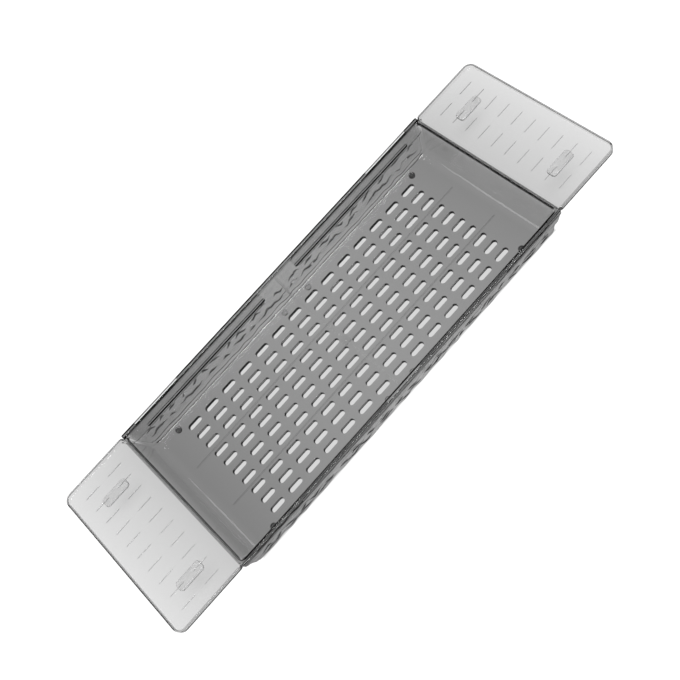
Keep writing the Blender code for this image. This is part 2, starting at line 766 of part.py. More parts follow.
def foot_mesh():
    """A turned foot with a spigot, listed from its top down the outside."""
    high = FOOT_HEIGHT - SEAT_GAP
    profile = [
        (0, high + FOOT_SPIGOT_HEIGHT),
        (FOOT_SPIGOT_RADIUS, high + FOOT_SPIGOT_HEIGHT),
        (FOOT_SPIGOT_RADIUS, high),
        (FOOT_RADIUS, high),
        (FOOT_RADIUS, FOOT_ROUND),
        (FOOT_RADIUS - FOOT_ROUND, 0),
        (0, 0),
    ]
    mesh = bpy.data.meshes.new("foot_profile")
    points = [(r, 0, z) for r, z in profile]
    edges = [(index, index + 1) for index in range(len(points) - 1)]
    mesh.from_pydata(points, edges, [])
    foot = add_object("foot_turning", mesh, cutters)
    screw = foot.modifiers.new("turn", "SCREW")
    screw.angle = 2 * math.pi
    screw.steps = ROUND_SIDES
    screw.render_steps = ROUND_SIDES
    screw.use_merge_vertices = True
    screw.merge_threshold = WELD_DISTANCE
    turned = tidy(evaluated_mesh(foot, "foot"))
    turned.materials.append(foot_rubber)
    return turned


def place(name, mesh, parent, location):
    obj = add_object(name, mesh, parts, location)
    obj.parent = parent
    return obj


def slide_empty(name, side):
    """The root of one sliding shelf, at the middle of its inner edge."""
    empty = add_object(name, None, parts, (side * SHELF_START, 0, 0))
    empty.rotation_euler.z = 0 if side > 0 else math.pi
    return empty


def shade(mesh):
    mesh.shade_smooth()
    mesh.set_sharp_from_angle(angle=SHARP_ANGLE)


make_tray()
shelf_with_arms = wing_mesh()
pad_shape = pad_mesh()
foot_shape = foot_mesh()
pad_level = FLOOR_TOP + SHELF_LEVEL - SHELF_THICKNESS - SEAT_GAP

for label, side in (("right", 1), ("left", -1)):
    slide = slide_empty(f"slide_{label}", side)
    place(f"wing_{label}", shelf_with_arms, slide, (0, 0, 0))
    for edge, turn in (("far", side), ("near", -side)):
        place(f"grip_pad_{label}_{edge}", pad_shape, slide, (PAD_X, turn * PAD_Y, pad_level))
    for edge, y in (("far", FOOT_Y), ("near", -FOOT_Y)):
        place(f"foot_{label}_{edge}", foot_shape, None, (side * FOOT_X, y, 0))

for shape in (shelf_with_arms, pad_shape, foot_shape):
    shade(shape)
bpy.context.view_layer.update()
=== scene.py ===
"""Looks of the extending bath caddy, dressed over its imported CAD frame."""

import math
import random

import bmesh
import bpy
from mathutils import Euler, Matrix, Vector


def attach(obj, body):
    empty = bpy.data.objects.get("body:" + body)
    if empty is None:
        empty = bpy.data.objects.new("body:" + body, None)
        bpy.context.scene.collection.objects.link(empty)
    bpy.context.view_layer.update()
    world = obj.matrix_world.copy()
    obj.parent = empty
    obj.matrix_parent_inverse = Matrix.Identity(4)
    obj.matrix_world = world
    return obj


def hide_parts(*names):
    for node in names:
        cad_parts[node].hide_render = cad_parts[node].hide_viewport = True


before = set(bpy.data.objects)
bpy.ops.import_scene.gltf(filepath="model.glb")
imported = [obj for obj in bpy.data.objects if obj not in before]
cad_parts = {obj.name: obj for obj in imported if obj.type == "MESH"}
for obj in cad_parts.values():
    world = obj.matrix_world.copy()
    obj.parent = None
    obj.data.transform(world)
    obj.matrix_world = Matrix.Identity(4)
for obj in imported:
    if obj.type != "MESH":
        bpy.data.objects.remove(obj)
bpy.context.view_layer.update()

# Camera at the photograph's viewing angle
CAMERA_PLACE = (-0.0959, -0.4711, 0.9256)
CAMERA_TURN = (22.54, 16.768, -45.6955)
CAMERA_LENS = 48.28
CAMERA_SENSOR = 36.0
CAMERA_SHIFT = (-0.0003, 0.0004)

# The table carries painted shadow: one shadow tone as seen directly, a darker one as seen through
# the plastic.
# A pair gives where a step in the shade starts and over what length it runs.
TABLE_REACH = 3.0
TABLE_MIDDLE = 0.005
TABLE_PAINT = 0.86
TABLE_GLOW = 1.06
TABLE_GLOW_SHARE = 0.8
# Painted shadow under the tray's footprint, as seen directly, and how much lighter the table is
# past it
SHADOW_TONE_UNDER_TRAY = 0.66
SHADOW_LIFT_OUTSIDE = 0.5
FOOTPRINT_END = (0.24, 0.003)
FOOTPRINT_SIDE = (0.0985, 0.002)
# Painted shade as seen through the plastic, lifting under the wings' outer parts and past the sides
SHADE_TONE_THROUGH_PLASTIC = 0.44
WING_SHADOW_EDGE = (0.261, 0.005)
WING_SHADOW_EDGE_LIFT = 0.3
WING_SHADOW_FADE = (0.261, 0.165)
WING_SHADOW_FADE_LIFT = 0.34
SIDE_SHADOW_FADE = (0.135, 0.2)
SIDE_SHADOW_FADE_LIFT = 0.64
# Painted shade that deepens towards the tray's ends
END_SHADE_DEPTH = 1.9
END_SHADE_MIDDLE = 0.02
END_SHADE_LIMIT = (0.255, 0.01)

# Light: the sky's strength, and softboxes as name, place, width, height and watts
SKY_LOW = 0.04
SKY_RISE = 0.05
SOFTBOXES = (
    ("overhead_softbox", (0.0, -0.4, 2.2), 1.7, 0.9, 54.0),
    ("left_strip", (-1.3, 0.75, 1.2), 0.6, 0.7, 3.2),
    ("right_strip", (1.5, 0.75, 1.2), 0.6, 0.7, 3.2),
)

# Finishes: noise scales per metre, and relief in metres
PLASTIC_IOR = 1.49
PLASTIC_TINT = (0.02, 0.02, 0.02, 1.0)
FLOW_SCALE = 38.0
FLOW_RELIEF = 0.000004
GRAIN_SCALE = 900.0
GRAIN_RELIEF = 0.000002
HAZE_SCALE = 14.0
RUBBER_PATCH_SCALE = 160.0
RUBBER_GRAIN_SCALE = 2600.0
RUBBER_GRAIN_RELIEF = 0.00005
WHITE = (1.0, 1.0, 1.0, 1.0)

# Levels are measured from the top of the basin's floor, as in the CAD
FLOOR_TOP = 0.007
TRAY_LENGTH = 0.5008
TRAY_WIDTH = 0.216
BASIN_DEPTH = 0.042
FLOOR_THICKNESS = 0.004
WALL_THICKNESS = 0.0018
END_WALL_THICKNESS = 0.0035
END_HEEL_RADIUS = 0.018
FLOOR_LENGTH = 0.472
FLOOR_WIDTH = 0.184
END_WALL_RUN = 0.0118
SIDE_WALL_RUN = 0.0113
END_COVE_RADIUS = 0.011
FOOT_FILLET = 0.004
HEEL_FILLET = 0.0015
BASIN_CORNER = 0.005
MOUTH_ROUND = 0.0005
RIM_THICKNESS = 0.002
END_RIM_DEPTH = 0.0065
RIM_ROUND = 0.0007
TRAY_CORNER = 0.0012
LIP_STEP = 0.0011
LIP_LEVEL = 0.035
SKIRT_THICKNESS = 0.0014
SKIRT_RUN = 0.008
SKIRT_RISE = 0.0004
EDGE_FALL = 0.0003
TRIM_RISE = 0.0004
OVERRUN = 0.010
SINK = 0.0008
CROSSING = 0.00003
WELD = 0.000005
ARC_STEPS = 10
SMALL_STEPS = 4
SHARP_ANGLE = math.radians(28)

# Ripple relief of the skirts
RIPPLE_HEIGHT = 0.0018
RIPPLE_TOP_HEIGHT = 0.0008
RIPPLE_LONG_WAVE = 0.046
RIPPLE_SHORT_WAVE = 0.027
RIPPLE_UPRIGHT_WAVE = 0.041
RIDGE_ROWS = ((0.0045, 0.0025, 0.050), (0.0135, 0.0030, 0.022))
RIDGE_SHORTEST = 0.008
RIDGE_GAP = 0.003
RIDGE_SEED = 11
RIDGE_WIDTH = 0.0034
RIDGE_LEDGE = 0.0003
RIDGE_HEIGHTS = {1: 0.0031, -1: 0.0008}
RIDGE_STEP = 0.0015
RIDGE_LONG_ZIGZAG = 0.029
RIDGE_SHORT_ZIGZAG = 0.0127
RIDGE_END_STRENGTH = 0.15
RIDGE_END_GROWTH = 2.5
RIPPLE_MARGIN = 0.0012
RIPPLE_COLUMNS = 260
RIPPLE_ROWS = 24

# Rim windows and guide slots
WINDOW_START = 0.161
WINDOW_END = 0.230
WINDOW_WIDTH = 0.0017
WINDOW_BAR = 0.0012
WINDOW_SILL = 0.0016
SLOT_START = 0.0263
SLOT_END = 0.2223
SLOT_LEVEL = 0.028
SLOT_HEIGHT = 0.003
# How far the sill lies below the slot before, at the wall's face, at its back and in the channel
SILL_FALLS = (0.0007, 0.0007, 0.0002, 0.0019)

# Drain slots
DRAIN_COLUMNS = 14
DRAIN_ROWS = 10
DRAIN_PITCH_X = 0.02856
DRAIN_PITCH_Y = 0.0162
DRAIN_LENGTH = 0.020
DRAIN_WIDTH = 0.0075
DRAIN_DRAFT = 0.19
DRAIN_ROUND = 0.0003

# Floor details
CENTRE_RIB_WIDTH = 0.0024
CENTRE_RIB_PROUD = 0.0005
CENTRE_RIB_SUNK_SHARE = 0.15
CENTRE_RIB_TOP_GAP = 0.0015
GATE_SIZE = 0.0105
GATE_ROUND = 0.002
GATE_PROUD = 0.0009
GATE_DOT_RADIUS = 0.00175
GATE_DOT_PROUD = 0.0005
UNDER_RIB_Y = 0.0324
UNDER_RIB_LENGTH = 0.440
UNDER_RIB_WIDTH = 0.0014
UNDER_RIB_DEPTH = 0.001
STUD_PLACE = (0.0205, 0.086)
STUD_RADIUS = 0.0035
STUD_HEIGHT = 0.0025
FOOT_PLACE = (0.205, 0.085)
FOOT_RADIUS = 0.004
FOOT_HEIGHT = 0.003
FOOT_ROUND = 0.0008
SPIGOT_RADIUS = 0.0022
SPIGOT_HEIGHT = 0.0016
SEAT_GAP = 0.0003

# End shelves
SHELF_START = 0.2507
SHELF_LENGTH = 0.0943
SHELF_WIDTH = 0.2134
SHELF_LEVEL = 0.037
SHELF_THICKNESS = 0.002
SHELF_LIP = 0.0023
SHELF_CORNER = 0.0105
SHELF_INNER_CORNER = 0.004
SHELF_ROUND = 0.0009
SHELF_FOOT_ROUND = 0.0009
RIB_ROWS = (0.0309, 0.0655)
RIB_COUNT = 10
RIB_PITCH = 0.0194
RIB_LENGTH = 0.0204
RIB_WIDTH = 0.0011
RIB_HEIGHT = 0.0008
WEB_THICKNESS = 0.0016
WEB_DEPTH = 0.004
WEB_INSET = 0.0004
ARM_THICKNESS = 0.00135
ARM_CLEARANCE = 0.0003
ARM_HIGH = 0.0385
ARM_LOW = 0.022
ARM_END = 0.0266
ARM_GUSSET = 0.005
ARM_TAPER = 0.006
SHELF_GAP = 0.0003
KEY_LENGTH = 0.1418
KEY_SETBACK = 0.0008
PAD_LENGTH = 0.035
PAD_WIDTH = 0.013
PAD_HEIGHT = 0.0035
PAD_ROUND = 0.0014
PAD_CORNER = 0.004
PAD_PLACE = (0.04715, 0.0673)

RIM_LEVEL = BASIN_DEPTH - RIM_THICKNESS


class Socket:
    """A number inside a node tree, on which Python's operators add Math nodes."""

    def __init__(self, nodes, socket):
        self.nodes = nodes
        self.socket = socket

    def maths(self, operation, *values):
        settings = {"operation": operation}
        return self.nodes.add("ShaderNodeMath", settings, dict(enumerate(values)))

    def __add__(self, other):
        return self.maths("ADD", self, other)

    def __sub__(self, other):
        return self.maths("SUBTRACT", self, other)

    def __rsub__(self, other):
        return self.maths("SUBTRACT", other, self)

    def __mul__(self, other):
        return self.maths("MULTIPLY", self, other)

    def __truediv__(self, other):
        return self.maths("DIVIDE", self, other)

    def size(self):
        return self.maths("ABSOLUTE", self)

    def at_most(self, other):
        return self.maths("MINIMUM", self, other)

    def at_least(self, other):
        return self.maths("MAXIMUM", self, other)


class Nodes:
    """A node tree that is filled from a script."""

    def __init__(self, tree):
        self.tree = tree
        self.tree.nodes.clear()

    def add(self, kind, settings=None, values=None, output=0):
        node = self.tree.nodes.new(kind)
        for name, value in (settings or {}).items():
            if name == "stops":
                self.set_stops(node.color_ramp, value)
            else:
                setattr(node, name, value)
        for name, value in (values or {}).items():
            if isinstance(value, Socket):
                self.tree.links.new(value.socket, node.inputs[name])
            else:
                node.inputs[name].default_value = value
        return Socket(self, node.outputs[output]) if node.outputs else None

    def set_stops(self, ramp, stops):
        while len(ramp.elements) < len(stops):
            ramp.elements.new(1)
        for element, (place, grey) in zip(ramp.elements, stops):
            element.position = place
            element.color = (grey, grey, grey, 1)

    def beside(self, socket, output):
        """Another output of the node that a socket belongs to."""
        return Socket(self, socket.socket.node.outputs[output])


def material_nodes(name):
    material = bpy.data.materials.new(name)
    material.use_nodes = True
    return material, Nodes(material.node_tree)


def moulded_clear(name, density, roughness):
    """Moulded clear plastic: absorption by depth, faint flow waves and fine handling haze.

    Shadow and diffuse rays pass without being dimmed.
    """
    material, nodes = material_nodes(name)
    place = nodes.add("ShaderNodeTexCoord", output="Object")
    waves = nodes.add(
        "ShaderNodeTexNoise", values={"Vector": place, "Scale": FLOW_SCALE, "Detail": 1.0}
    )
    grain = nodes.add(
        "ShaderNodeTexNoise", values={"Vector": place, "Scale": GRAIN_SCALE, "Detail": 2.0}
    )
    haze = nodes.add(
        "ShaderNodeTexNoise", values={"Vector": place, "Scale": HAZE_SCALE, "Detail": 3.0}
    )
    relief = waves * FLOW_RELIEF + grain * GRAIN_RELIEF
    bump = nodes.add(
        "ShaderNodeBump", values={"Height": relief, "Distance": 1.0, "Strength": 1.0}
    )
    surface = nodes.add(
        "ShaderNodeBsdfPrincipled",
        values={
            "Base Color": WHITE,
            "Roughness": haze * roughness + roughness / 2,
            "IOR": PLASTIC_IOR,
            "Transmission Weight": 1.0,
            "Normal": bump,
        },
    )
    shadow = nodes.add("ShaderNodeLightPath", output="Is Shadow Ray")
    lamp_ray = (shadow + nodes.beside(shadow, "Is Diffuse Ray")).at_most(1.0)
    passing = nodes.add("ShaderNodeBsdfTransparent", values={"Color": WHITE})
    mixed = nodes.add("ShaderNodeMixShader", values={0: lamp_ray, 1: surface, 2: passing})
    depth = nodes.add(
        "ShaderNodeVolumeAbsorption", values={"Color": PLASTIC_TINT, "Density": density}
    )
    nodes.add("ShaderNodeOutputMaterial", values={"Surface": mixed, "Volume": depth})
    return material


def rubber(name, dark, light, roughness):
    """Soft moulded rubber with a fine matt grain."""
    material, nodes = material_nodes(name)
    place = nodes.add("ShaderNodeTexCoord", output="Object")
    patches = nodes.add(
        "ShaderNodeTexNoise", values={"Vector": place, "Scale": RUBBER_PATCH_SCALE, "Detail": 3.0}
    )
    grain = nodes.add(
        "ShaderNodeTexNoise", values={"Vector": place, "Scale": RUBBER_GRAIN_SCALE, "Detail": 2.0}
    )
    stops = [(0.3, dark), (0.7, light)]
    colour = nodes.add("ShaderNodeValToRGB", {"stops": stops}, {0: patches})
    bump = nodes.add(
        "ShaderNodeBump",
        values={"Height": grain, "Distance": RUBBER_GRAIN_RELIEF, "Strength": 0.5},
    )
    surface = nodes.add(
        "ShaderNodeBsdfPrincipled",
        values={"Base Color": colour, "Roughness": grain * 0.2 + roughness, "Normal": bump},
    )
    nodes.add("ShaderNodeOutputMaterial", values={"Surface": surface})
    return material


smoke_plastic = moulded_clear("smoke_plastic", 70.0, 0.03)
clear_plastic = moulded_clear("clear_plastic", 85.0, 0.05)
grip_rubber = rubber("grip_rubber", 0.74, 0.80, 0.5)
foot_rubber = rubber("foot_rubber", 0.05, 0.07, 0.55)


def set_camera():
    data = bpy.data.cameras.new("camera")
    data.lens = CAMERA_LENS
    data.sensor_width = CAMERA_SENSOR
    data.shift_x, data.shift_y = CAMERA_SHIFT
    camera = bpy.data.objects.new("camera", data)
    camera.location = CAMERA_PLACE
    camera.rotation_euler = Euler([math.radians(angle) for angle in CAMERA_TURN])
    bpy.context.scene.collection.objects.link(camera)
    bpy.context.scene.camera = camera


def softbox(name, place, width, height, watts):
    """A lamp that faces the origin; it isn't seen through the plastic."""
    data = bpy.data.lights.new(name, "AREA")
    data.shape = "RECTANGLE"
    data.size = width
    data.size_y = height
    data.energy = watts
    lamp = bpy.data.objects.new(name, data)
    lamp.location = place
    lamp.visible_transmission = False
    lamp.rotation_euler = (-Vector(place)).to_track_quat("-Z", "Y").to_euler()
    bpy.context.scene.collection.objects.link(lamp)


def past(place, limit, reach):
    """0 up to a limit and 1 from a reach beyond it."""
    return ((place - limit) / reach).at_least(0.0).at_most(1.0)


def set_table():
    """A table with painted shadow, not a plain one.

    Seen directly it is white, with a painted shadow under the tray's footprint. Rays that have
    passed the plastic see it much darker: painted shade under the tray and the wings, deepening
    towards the tray's ends, and this gives the tray most of its grey in the render.
    """
    material, nodes = material_nodes("studio_floor")
    coordinates = nodes.add("ShaderNodeTexCoord", output="Object")
    place = nodes.add("ShaderNodeSeparateXYZ", values={0: coordinates})
    x, y = (place - TABLE_MIDDLE).size(), nodes.beside(place, "Y").size()
    seen = nodes.add("ShaderNodeLightPath", output="Is Camera Ray")
    # Painted shadow under the tray's footprint, as seen directly
    outside = past(x, *FOOTPRINT_END).at_least(past(y, *FOOTPRINT_SIDE))
    shadow_seen_directly = outside * SHADOW_LIFT_OUTSIDE + SHADOW_TONE_UNDER_TRAY
    # Painted shade seen through the plastic, lighter under the wings' outer parts and past the
    # sides
    wing_shadow_lift = past(x, *WING_SHADOW_EDGE) * WING_SHADOW_EDGE_LIFT + past(x, *WING_SHADOW_FADE) * WING_SHADOW_FADE_LIFT
    through = wing_shadow_lift.at_least(past(y, *SIDE_SHADOW_FADE) * SIDE_SHADOW_FADE_LIFT) + SHADE_TONE_THROUGH_PLASTIC
    # Painted shade that deepens towards the tray's ends
    from_middle = place - END_SHADE_MIDDLE
    end_shade_mask = 1 - past(x, *END_SHADE_LIMIT)
    through = through - from_middle * from_middle * END_SHADE_DEPTH * end_shade_mask
    # Camera rays see the painted shadow, all other rays the darker painted shade
    painted_shadow_tone = seen * shadow_seen_directly + (1 - seen) * through
    # The table's diffuse colour and its glow both carry this painted shadow
    painted_shadow_diffuse = nodes.add("ShaderNodeBsdfDiffuse", values={"Color": painted_shadow_tone * TABLE_PAINT})
    painted_shadow_glow = nodes.add("ShaderNodeEmission", values={"Color": painted_shadow_tone, "Strength": TABLE_GLOW})
    rays = seen + nodes.beside(seen, "Is Glossy Ray") + nodes.beside(seen, "Is Transmission Ray")
    share = rays.at_most(1.0) * TABLE_GLOW_SHARE
    mixed = nodes.add("ShaderNodeMixShader", values={0: share, 1: painted_shadow_diffuse, 2: painted_shadow_glow})
    nodes.add("ShaderNodeOutputMaterial", values={"Surface": mixed})
    mesh = bpy.data.meshes.new("studio_floor")
    reach = TABLE_REACH
    corners = [(-reach, -reach, 0), (reach, -reach, 0), (reach, reach, 0), (-reach, reach, 0)]
    mesh.from_pydata(corners, [], [(0, 1, 2, 3)])
    mesh.materials.append(material)
    floor = bpy.data.objects.new("studio_floor", mesh)
    bpy.context.scene.collection.objects.link(floor)


def set_world():
    """A white background for the camera and a dim sky for the light."""
    world = bpy.data.worlds.new("studio")
    world.use_nodes = True
    nodes = Nodes(world.node_tree)
    path = nodes.add("ShaderNodeLightPath", output="Is Camera Ray")
    direction = nodes.add("ShaderNodeTexCoord", output="Generated")
    upright = nodes.add("ShaderNodeSeparateXYZ", values={"Vector": direction}, output="Z")
    sky = upright.at_least(0.0) * SKY_RISE + SKY_LOW
    ambient = nodes.add("ShaderNodeBackground", values={"Color": WHITE, "Strength": sky})
    white = nodes.add("ShaderNodeBackground", values={"Color": WHITE, "Strength": 1.0})
    mixed = nodes.add("ShaderNodeMixShader", values={0: path, 1: ambient, 2: white})
    nodes.add("ShaderNodeOutputWorld", values={"Surface": mixed})
    bpy.context.scene.world = world
    bpy.context.scene.view_settings.view_transform = "Standard"


set_camera()
set_table()
set_world()
for given in SOFTBOXES:
    softbox(*given)


def long_inner(level):
    """Half the basin's inner width at a level."""
    return FLOOR_WIDTH / 2 + SIDE_WALL_RUN * level / BASIN_DEPTH


def long_outer(level):
    return long_inner(level) + WALL_THICKNESS * math.hypot(1, SIDE_WALL_RUN / BASIN_DEPTH)


def end_inner(level):
    """Half the basin's inner length at a level."""
    return FLOOR_LENGTH / 2 + END_WALL_RUN * level / BASIN_DEPTH


def end_outer(level):
    return end_inner(level) + END_WALL_THICKNESS * math.hypot(1, END_WALL_RUN / BASIN_DEPTH)


def skirt_outer(level):
    drop = (LIP_LEVEL - level) / (LIP_LEVEL + FLOOR_THICKNESS)
    return TRAY_WIDTH / 2 - LIP_STEP - SKIRT_RUN * drop


def skirt_inner(level):
    return skirt_outer(level) - SKIRT_THICKNESS


def channel_middle(level):
    return (long_outer(level) + skirt_inner(level)) / 2


def quarter(radius, steps=SMALL_STEPS):
    """(inset, depth) pairs of a quarter round, from a flat face round to an upright one."""
    turns = [math.pi / 2 * step / steps for step in range(steps + 1)]
    return [(radius * (1 - math.sin(turn)), radius * (1 - math.cos(turn))) for turn in turns]


def coved(half, run, radius, level):
    """Half a span between drafted walls that meet the floor in a cove."""
    slope = math.atan2(run, BASIN_DEPTH)
    centre = half - radius * (1 - math.sin(slope)) / math.cos(slope)
    if level < radius * (1 - math.sin(slope)):
        return centre + math.sqrt(radius**2 - (radius - level) ** 2)
    return half + run * level / BASIN_DEPTH


def cove_levels(run, radius, steps):
    """Levels that cut a cove into even turns."""
    sweep = math.pi / 2 - math.atan2(run, BASIN_DEPTH)
    return [radius * (1 - math.cos(sweep * step / steps)) for step in range(steps + 1)]


def fillet(before, corner, after, radius, steps=ARC_STEPS):
    """Points of the arc that rounds one corner of an outline."""
    corner = Vector(corner)
    towards = (Vector(before) - corner).normalized()
    away = (Vector(after) - corner).normalized()
    half = towards.angle(away) / 2
    centre = corner + (towards + away).normalized() * radius / math.sin(half)
    start = corner + towards * radius / math.tan(half) - centre
    turn = math.pi - 2 * half
    if start.x * towards.y - start.y * towards.x > 0:
        turn = -turn
    arc = (Matrix.Rotation(turn * step / steps, 2) @ start for step in range(steps + 1))
    return [tuple(centre + point) for point in arc]


def plan(low, high, radii, steps=SMALL_STEPS):
    """A rectangle in plan with a radius for each corner, counter-clockwise from the lowest."""
    corners = [(low[0], low[1]), (high[0], low[1]), (high[0], high[1]), (low[0], high[1])]
    outline = []
    for index, (corner, radius) in enumerate(zip(corners, radii)):
        before, after = corners[index - 1], corners[(index + 1) % 4]
        outline += fillet(before, corner, after, radius, steps)
    return outline


def finished(name, work):
    """A mesh object with its doubles merged and its faces turned outwards."""
    bmesh.ops.remove_doubles(work, verts=work.verts, dist=WELD)
    bmesh.ops.recalc_face_normals(work, faces=work.faces)
    mesh = bpy.data.meshes.new(name)
    work.to_mesh(mesh)
    work.free()
    piece = bpy.data.objects.new(name, mesh)
    bpy.context.scene.collection.objects.link(piece)
    return piece


def skinned(name, rings):
    """A closed solid through rings of equally many points, capped at both ends."""
    work = bmesh.new()
    rows = [[work.verts.new(point) for point in ring] for ring in rings]
    for low, high in zip(rows, rows[1:]):
        for index in range(len(low)):
            after = (index + 1) % len(low)
            work.faces.new((low[index], low[after], high[after], high[index]))
    work.faces.new(rows[0])
    work.faces.new(rows[-1])
    return finished(name, work)


def stacked(name, levels):
    """A solid through plan outlines, each at its level over the floor."""
    rings = [[(x, y, level + FLOOR_TOP) for x, y in outline] for outline, level in levels]
    return skinned(name, rings)


def along_x(name, outline, start, end):
    rings = [[(x, y, level + FLOOR_TOP) for y, level in outline] for x in (start, end)]
    return skinned(name, rings)


def along_y(name, outline, start, end):
    rings = [[(x, y, level + FLOOR_TOP) for x, level in outline] for y in (start, end)]
    return skinned(name, rings)


def plain_mesh(piece):
    """The evaluated piece as a mesh of its own."""
    bpy.context.view_layer.update()
    graph = bpy.context.evaluated_depsgraph_get()
    return bpy.data.meshes.new_from_object(piece.evaluated_get(graph))


def settled(piece):
    """Turns the piece's modifiers into its mesh."""
    mesh = plain_mesh(piece)
    piece.modifiers.clear()
    piece.data = mesh
    return piece


def combine(piece, operation, tools):
    """Cuts, adds or crosses the tools, which are used up."""
    for tool in tools:
        modifier = piece.modifiers.new(tool.name, "BOOLEAN")
        modifier.operation = operation
        modifier.solver = "EXACT"
        modifier.object = tool
    settled(piece)
    for tool in tools:
        bpy.data.objects.remove(tool)
    return piece


def shaded(piece, material, body, nodes):
    """Finishes a piece and hands it to the frame."""
    work = bmesh.new()
    work.from_mesh(piece.data)
    bmesh.ops.remove_doubles(work, verts=work.verts, dist=WELD)
    bmesh.ops.recalc_face_normals(work, faces=work.faces)
    work.to_mesh(piece.data)
    work.free()
    piece.data.materials.clear()
    piece.data.materials.append(material)
    piece.data.shade_smooth()
    piece.data.set_sharp_from_angle(angle=SHARP_ANGLE)
    normals = piece.modifiers.new("even_normals", "WEIGHTED_NORMAL")
    normals.keep_sharp = True
    settled(piece)
    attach(piece, body)
    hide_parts(*nodes)
    return piece


def set_out_tree():
    """Geometry nodes that set one piece out on a rectangular grid."""
    tree = bpy.data.node_groups.new("set_out_on_grid", "GeometryNodeTree")
    nodes = Nodes(tree)
    for name, kind in (
        ("Piece", "NodeSocketObject"),
        ("Columns", "NodeSocketInt"),
        ("Rows", "NodeSocketInt"),
        ("Pitch X", "NodeSocketFloat"),
        ("Pitch Y", "NodeSocketFloat"),
        ("Material", "NodeSocketMaterial"),
    ):
        tree.interface.new_socket(name=name, in_out="INPUT", socket_type=kind)
    tree.interface.new_socket(name="Geometry", in_out="OUTPUT", socket_type="NodeSocketGeometry")
    piece = nodes.add("NodeGroupInput", output="Piece")
    columns, rows = nodes.beside(piece, "Columns"), nodes.beside(piece, "Rows")
    length = (columns - 1) * nodes.beside(piece, "Pitch X")
    width = (rows - 1) * nodes.beside(piece, "Pitch Y")
    sizes = {"Size X": length, "Size Y": width, "Vertices X": columns, "Vertices Y": rows}
    grid = nodes.add("GeometryNodeMeshGrid", values=sizes)
    shape = nodes.add("GeometryNodeObjectInfo", values={"Object": piece}, output="Geometry")
    set_out = nodes.add("GeometryNodeInstanceOnPoints", values={"Points": grid, "Instance": shape})
    real = nodes.add("GeometryNodeRealizeInstances", values={"Geometry": set_out})
    material = nodes.beside(piece, "Material")
    dressed = nodes.add("GeometryNodeSetMaterial", values={"Geometry": real, "Material": material})
    nodes.add("NodeGroupOutput", values={"Geometry": dressed})
    return tree


grid_tree = set_out_tree()


def set_out(name, piece, columns, rows, pitch_x, pitch_y, material):
    """Copies of a piece on a grid round the origin, as one mesh."""
    host = bpy.data.objects.new(name, bpy.data.meshes.new(name))
    bpy.context.scene.collection.objects.link(host)
    modifier = host.modifiers.new(name, "NODES")
    modifier.node_group = grid_tree
    given = (piece, columns, rows, pitch_x, pitch_y, material)
    inputs = [item for item in grid_tree.interface.items_tree if item.in_out == "INPUT"]
    for item, value in zip(inputs, given):
        modifier[item.identifier] = value
    settled(host)
    bpy.data.objects.remove(piece)
    return host


def stadium(length, width, steps=SMALL_STEPS * 2):
    """A slot's outline with half-round ends, lying along X."""
    half = (length - width) / 2
    outline = []
    for end in (1, -1):
        for step in range(steps + 1):
            turn = math.pi * (step / steps - 0.5)
            across = width / 2
            outline.append((end * (half + across * math.cos(turn)), end * across * math.sin(turn)))
    return outline


def drain_core():
    """The space of one drain slot, with a fine round at its upper edge."""
    levels = []
    steps = [(-FLOOR_THICKNESS - SINK, 0)]
    steps += [(CROSSING - depth, inset) for inset, depth in reversed(quarter(DRAIN_ROUND))]
    steps += [(OVERRUN, DRAIN_ROUND)]
    for level, grow in steps:
        spread = 2 * (grow + DRAIN_DRAFT * min(level, 0))
        levels.append((stadium(DRAIN_LENGTH + spread, DRAIN_WIDTH + spread), level))
    return stacked("drain_core", levels)


def tray_shell():
    """The tray's outer limits, with rounded upper edges and corners."""
    low = -FLOOR_THICKNESS - OVERRUN
    edge = reversed(quarter(RIM_ROUND))
    steps = [(low, 0)] + [(BASIN_DEPTH - depth, inset) for inset, depth in edge]
    levels = []
    for level, inset in steps:
        half = (TRAY_LENGTH / 2 - inset, TRAY_WIDTH / 2 - inset)
        corner = TRAY_CORNER - inset
        levels.append((plan((-half[0], -half[1]), half, (corner,) * 4), level))
    return stacked("tray_shell", levels)


def tray_body():
    """Floor, walls, rim and skirts before the basin is cut."""
    bottom = -FLOOR_THICKNESS
    half_width = TRAY_WIDTH / 2 + OVERRUN
    top = BASIN_DEPTH + OVERRUN
    heel = (long_outer(bottom), bottom)
    half = fillet((0, bottom), heel, (long_outer(0), 0), HEEL_FILLET, SMALL_STEPS)
    half += [
        (long_outer(RIM_LEVEL), RIM_LEVEL),
        (skirt_inner(RIM_LEVEL), RIM_LEVEL - EDGE_FALL),
        (skirt_inner(LIP_LEVEL), LIP_LEVEL - EDGE_FALL),
        (half_width, LIP_LEVEL),
        (half_width, top),
    ]
    outline = half + [(-y, level) for y, level in reversed(half)]
    reach = TRAY_LENGTH / 2 + OVERRUN
    return along_x("tray_shown", outline, -reach, reach)


def basin_space():
    """The inside of the basin, with coved ends, a fine fillet at the sides and rounded corners."""
    levels = set(cove_levels(END_WALL_RUN, END_COVE_RADIUS, 2 * ARC_STEPS))
    levels |= set(cove_levels(SIDE_WALL_RUN, FOOT_FILLET, 2 * SMALL_STEPS))
    steps = [(level, 0) for level in sorted(levels)]
    mouth = reversed(quarter(MOUTH_ROUND))
    steps += [(BASIN_DEPTH + CROSSING - depth, inset) for inset, depth in mouth]
    steps += [(BASIN_DEPTH + OVERRUN, MOUTH_ROUND)]
    rings = []
    for level, grow in steps:
        x = coved(FLOOR_LENGTH / 2, END_WALL_RUN, END_COVE_RADIUS, level) + grow
        y = coved(FLOOR_WIDTH / 2, SIDE_WALL_RUN, FOOT_FILLET, level) + grow
        rings.append((plan((-x, -y), (x, y), (BASIN_CORNER,) * 4, 2 * SMALL_STEPS), level))
    return stacked("basin_space", rings)


